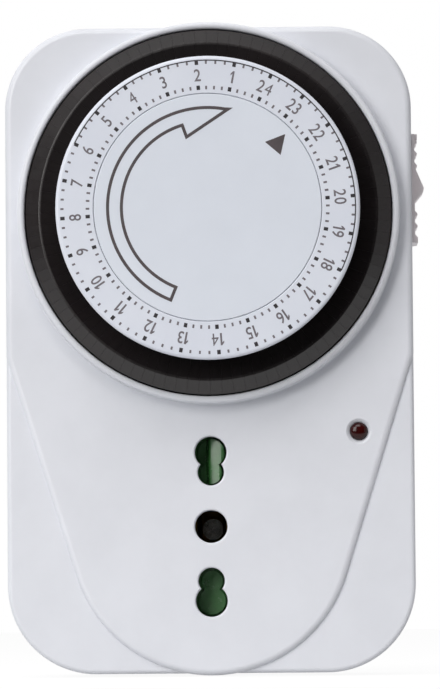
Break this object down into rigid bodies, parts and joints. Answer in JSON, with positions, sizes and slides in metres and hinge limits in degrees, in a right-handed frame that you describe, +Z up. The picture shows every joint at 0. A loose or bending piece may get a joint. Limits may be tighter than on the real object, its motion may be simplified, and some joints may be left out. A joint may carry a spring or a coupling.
{
  "type": "plug in timer switch",
  "caption": "Plug-in day timer switch: a turning dial ringed with push-in trippers, a side override slider, a shuttered in-line socket in front and in-line plug pins behind.",
  "frame": {"origin": "on the axis of the earth pin, in the rear face that meets the wall", "axes": "+Z up, -Y out of the wall towards the user, +X to the user's right; the pins point along +Y"},
  "size_m": [0.0744, 0.069, 0.1145],
  "materials": {
    "case_white": "fine satin, slightly cool white ABS",
    "dial_black": "smooth black moulding with soft gloss",
    "tripper_black": "smooth black moulding with soft gloss",
    "dial_white": "printed white plate, satin",
    "slider_grey": "smooth warm light grey moulding",
    "shutter_green": "smooth mid-green moulding",
    "lens_red": "dark red translucent lens",
    "inner_plastic": "plain natural moulding",
    "wheel_plastic": "acetal wheel",
    "switch_plastic": "dark phenolic moulding",
    "sleeve_black": "insulating sleeve",
    "steel": "bright drawn steel",
    "brass": "stamped and turned brass",
    "nickel": "nickel-plated brass pins",
    "copper": "enamelled copper winding",
    "ferrite": "sintered ferrite",
    "lamp_glass": "clear lamp glass",
    "resistor": "lacquered resistor body",
    "lead_insulation": "thin wire insulation"
  },
  "bodies": {
    "case": {"front_cover": "case_white", "rear_shell": "case_white", "case_screws": "steel", "plate_screws": "steel", "mechanism_plate": "inner_plastic", "dial_post": "inner_plastic", "pointer_disc": "dial_white", "drive_axle": "steel", "idler_axle": "steel", "reduction_case": "steel", "motor_can": "steel", "stator_plate": "steel", "coil_bobbin": "inner_plastic", "coil_winding": "copper", "lever_pin": "steel", "switch_case": "switch_plastic", "switch_lid": "switch_plastic", "switch_terminals": "brass", "socket_block": "switch_plastic", "shutter_spring": "steel", "line_clip": "brass", "neutral_clip": "brass", "earth_clip": "brass", "line_pin": "nickel", "neutral_pin": "nickel", "earth_pin": "nickel", "pin_sleeves": "sleeve_black", "line_busbar": "brass", "switched_busbar": "brass", "indicator_lens": "lens_red", "neon_lamp": "lamp_glass", "lamp_resistor": "resistor", "lamp_leads": "lead_insulation", "motor_leads": "lead_insulation"},
    "dial": {"dial_wheel": "dial_black", "hour_ring": "dial_white"},
    "drive_wheelwork": {"clutch_pinion": "brass", "clutch_spring": "steel", "drive_wheel": "wheel_plastic"},
    "idler": {"idler_wheel": "wheel_plastic"},
    "motor_output": {"motor_pinion": "brass"},
    "rotor": {"rotor_magnet": "ferrite", "rotor_shaft": "steel"},
    "lever": {"trip_lever": "wheel_plastic"},
    "plunger": {"switch_plunger": "switch_plastic"},
    "blade": {"switch_blade": "brass"},
    "slider": {"override_slider": "slider_grey"},
    "safety_shutter": {"shutter": "shutter_green"},
    "two_hours_00_02": {"trippers_00_02": "tripper_black"},
    "two_hours_02_04": {"trippers_02_04": "tripper_black"},
    "two_hours_04_06": {"trippers_04_06": "tripper_black"},
    "two_hours_06_08": {"trippers_06_08": "tripper_black"},
    "two_hours_08_10": {"trippers_08_10": "tripper_black"},
    "two_hours_10_12": {"trippers_10_12": "tripper_black"},
    "two_hours_12_14": {"trippers_12_14": "tripper_black"},
    "two_hours_14_16": {"trippers_14_16": "tripper_black"},
    "two_hours_16_18": {"trippers_16_18": "tripper_black"},
    "two_hours_18_20": {"trippers_18_20": "tripper_black"},
    "two_hours_20_22": {"trippers_20_22": "tripper_black"},
    "two_hours_22_24": {"trippers_22_24": "tripper_black"}
  },
  "joints": [
    {"name": "dial_turn", "type": "hinge", "parent": "case", "child": "dial", "pos_m": [0, -0.04, 0.055], "axis": [0, 1, 0], "continuous": true},
    {"name": "override_slide", "type": "slide", "parent": "case", "child": "slider", "axis": [0, 0, 1], "range_m": [-0.004, 0]},
    {"name": "shutter_slide", "type": "slide", "parent": "case", "child": "safety_shutter", "axis": [1, 0, 0], "range_m": [0, 0.0068], "stiffness_N_per_m": 60, "springref_m": -0.002, "deforming": ["shutter_spring"]},
    {"name": "lever_pivot", "type": "hinge", "parent": "case", "child": "lever", "pos_m": [0.012, -0.0264, 0.05513], "axis": [0, 0, 1], "range_deg": [0, 6.7]},
    {"name": "plunger_slide", "type": "slide", "parent": "case", "child": "plunger", "axis": [0, 1, 0], "range_m": [0, 0.00075]},
    {"name": "blade_pivot", "type": "hinge", "parent": "case", "child": "blade", "pos_m": [0.0135, -0.0175, 0.05513], "axis": [0, 0, 1], "range_deg": [0, 9.5]},
    {"name": "drive_turn", "type": "hinge", "parent": "case", "child": "drive_wheelwork", "pos_m": [0.0105, -0.028, 0.03681], "axis": [0, 1, 0], "continuous": true},
    {"name": "idler_turn", "type": "hinge", "parent": "case", "child": "idler", "pos_m": [-0.0045, -0.026, 0.03681], "axis": [0, 1, 0], "continuous": true},
    {"name": "motor_output_turn", "type": "hinge", "parent": "case", "child": "motor_output", "pos_m": [-0.011, -0.025, 0.04807], "axis": [0, 1, 0], "continuous": true},
    {"name": "rotor_turn", "type": "hinge", "parent": "case", "child": "rotor", "pos_m": [-0.011, -0.012, 0.04807], "axis": [0, 1, 0], "continuous": true},
    {"name": "push_00_02", "type": "slide", "parent": "dial", "child": "two_hours_00_02", "axis": [0, 1, 0], "range_m": [0, 0.0025]},
    {"name": "push_02_04", "type": "slide", "parent": "dial", "child": "two_hours_02_04", "axis": [0, 1, 0], "range_m": [0, 0.0025]},
    {"name": "push_04_06", "type": "slide", "parent": "dial", "child": "two_hours_04_06", "axis": [0, 1, 0], "range_m": [0, 0.0025]},
    {"name": "push_06_08", "type": "slide", "parent": "dial", "child": "two_hours_06_08", "axis": [0, 1, 0], "range_m": [0, 0.0025]},
    {"name": "push_08_10", "type": "slide", "parent": "dial", "child": "two_hours_08_10", "axis": [0, 1, 0], "range_m": [0, 0.0025]},
    {"name": "push_10_12", "type": "slide", "parent": "dial", "child": "two_hours_10_12", "axis": [0, 1, 0], "range_m": [0, 0.0025]},
    {"name": "push_12_14", "type": "slide", "parent": "dial", "child": "two_hours_12_14", "axis": [0, 1, 0], "range_m": [0, 0.0025]},
    {"name": "push_14_16", "type": "slide", "parent": "dial", "child": "two_hours_14_16", "axis": [0, 1, 0], "range_m": [0, 0.0025]},
    {"name": "push_16_18", "type": "slide", "parent": "dial", "child": "two_hours_16_18", "axis": [0, 1, 0], "range_m": [0, 0.0025]},
    {"name": "push_18_20", "type": "slide", "parent": "dial", "child": "two_hours_18_20", "axis": [0, 1, 0], "range_m": [0, 0.0025]},
    {"name": "push_20_22", "type": "slide", "parent": "dial", "child": "two_hours_20_22", "axis": [0, 1, 0], "range_m": [0, 0.0025]},
    {"name": "push_22_24", "type": "slide", "parent": "dial", "child": "two_hours_22_24", "axis": [0, 1, 0], "range_m": [0, 0.0025]}
  ],
  "couplings": [
    {"joint": "drive_turn", "follows": "dial_turn", "ratio": -6},
    {"joint": "idler_turn", "follows": "dial_turn", "ratio": 24},
    {"joint": "motor_output_turn", "follows": "dial_turn", "ratio": -80},
    {"joint": "lever_pivot", "follows": "override_slide", "rad_per_m": -29.231},
    {"joint": "plunger_slide", "follows": "override_slide", "ratio": -0.18748},
    {"joint": "blade_pivot", "follows": "override_slide", "rad_per_m": -41.447}
  ]
}
